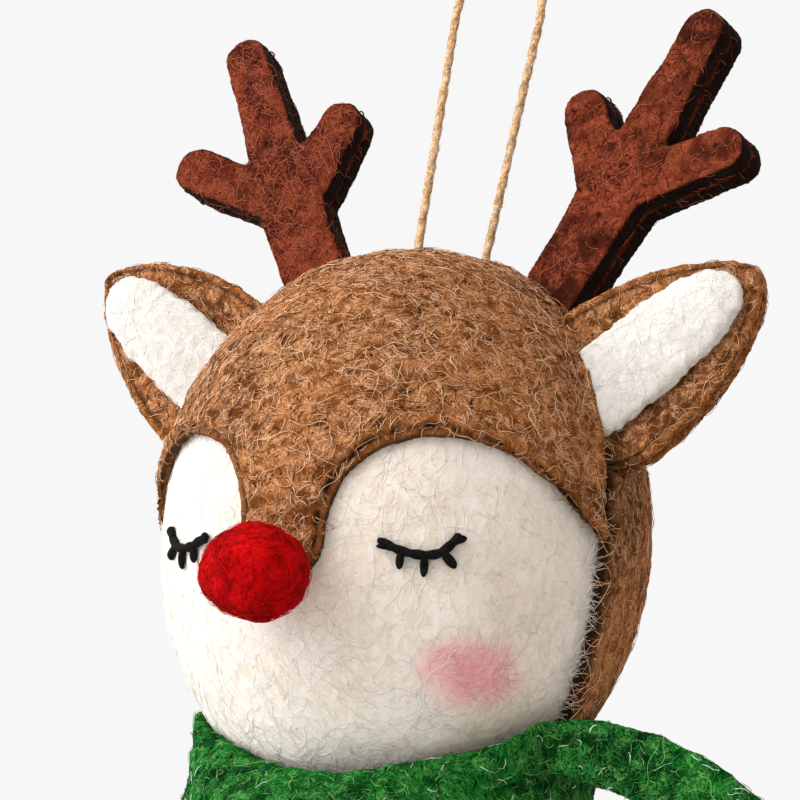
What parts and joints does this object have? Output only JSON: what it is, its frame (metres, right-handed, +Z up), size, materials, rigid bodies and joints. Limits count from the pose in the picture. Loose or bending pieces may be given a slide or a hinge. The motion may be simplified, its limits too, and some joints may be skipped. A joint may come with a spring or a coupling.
{
  "type": "reindeer ornament",
  "caption": "Hanging reindeer ornament of wool felt: an egg-shaped head under a sewn hood with stiff antlers and lined ears, a ball nose, and a scarf over a stuffed body.",
  "frame": {"origin": "top of the hanging loop, on the middle of the twine", "axes": "+Z up along the hang line, face towards -Y, the reindeer's own left towards +X"},
  "size_m": [0.1104, 0.0757, 0.1685],
  "materials": {
    "twine": "two-ply twisted natural twine",
    "cream_wool": "needle-felted cream wool with curly loose fibres",
    "brown_felt": "matte brown wool felt with pale wavy surface fibres",
    "dark_felt": "stiff dark red-brown wool felt with nearly black cut edges",
    "white_felt": "soft white wool felt",
    "red_wool": "tightly felted red wool",
    "pink_wool": "thin pink wool wisps felted into the cheek",
    "green_felt": "green wool felt with silver metallic thread dashes",
    "black_thread": "black embroidery thread"
  },
  "bodies": {
    "hanger": {"twine_loop": "twine"},
    "ornament": {"head_ball": "cream_wool", "hood_front": "brown_felt", "hood_back": "brown_felt", "nose_ball": "red_wool", "eye_left": "black_thread", "eye_right": "black_thread", "cheek_left": "pink_wool", "cheek_right": "pink_wool", "antler_left_front": "dark_felt", "antler_left_back": "dark_felt", "antler_right_front": "dark_felt", "antler_right_back": "dark_felt", "ear_left_back": "brown_felt", "ear_left_front": "brown_felt", "ear_left_lining": "white_felt", "ear_right_back": "brown_felt", "ear_right_front": "brown_felt", "ear_right_lining": "white_felt", "body_cover": "brown_felt", "body_filling": "cream_wool", "base_disc": "brown_felt", "scarf_band": "green_felt", "scarf_tail": "green_felt", "twine_knot": "twine", "twine_lead_left": "twine", "twine_lead_right": "twine"}
  },
  "joints": [
    {"name": "swing", "type": "hinge", "parent": "hanger", "child": "ornament", "pos_m": [-0.0018, 0, -0.0476], "axis": [1, 0, 0], "range_deg": [-25, 25]}
  ]
}
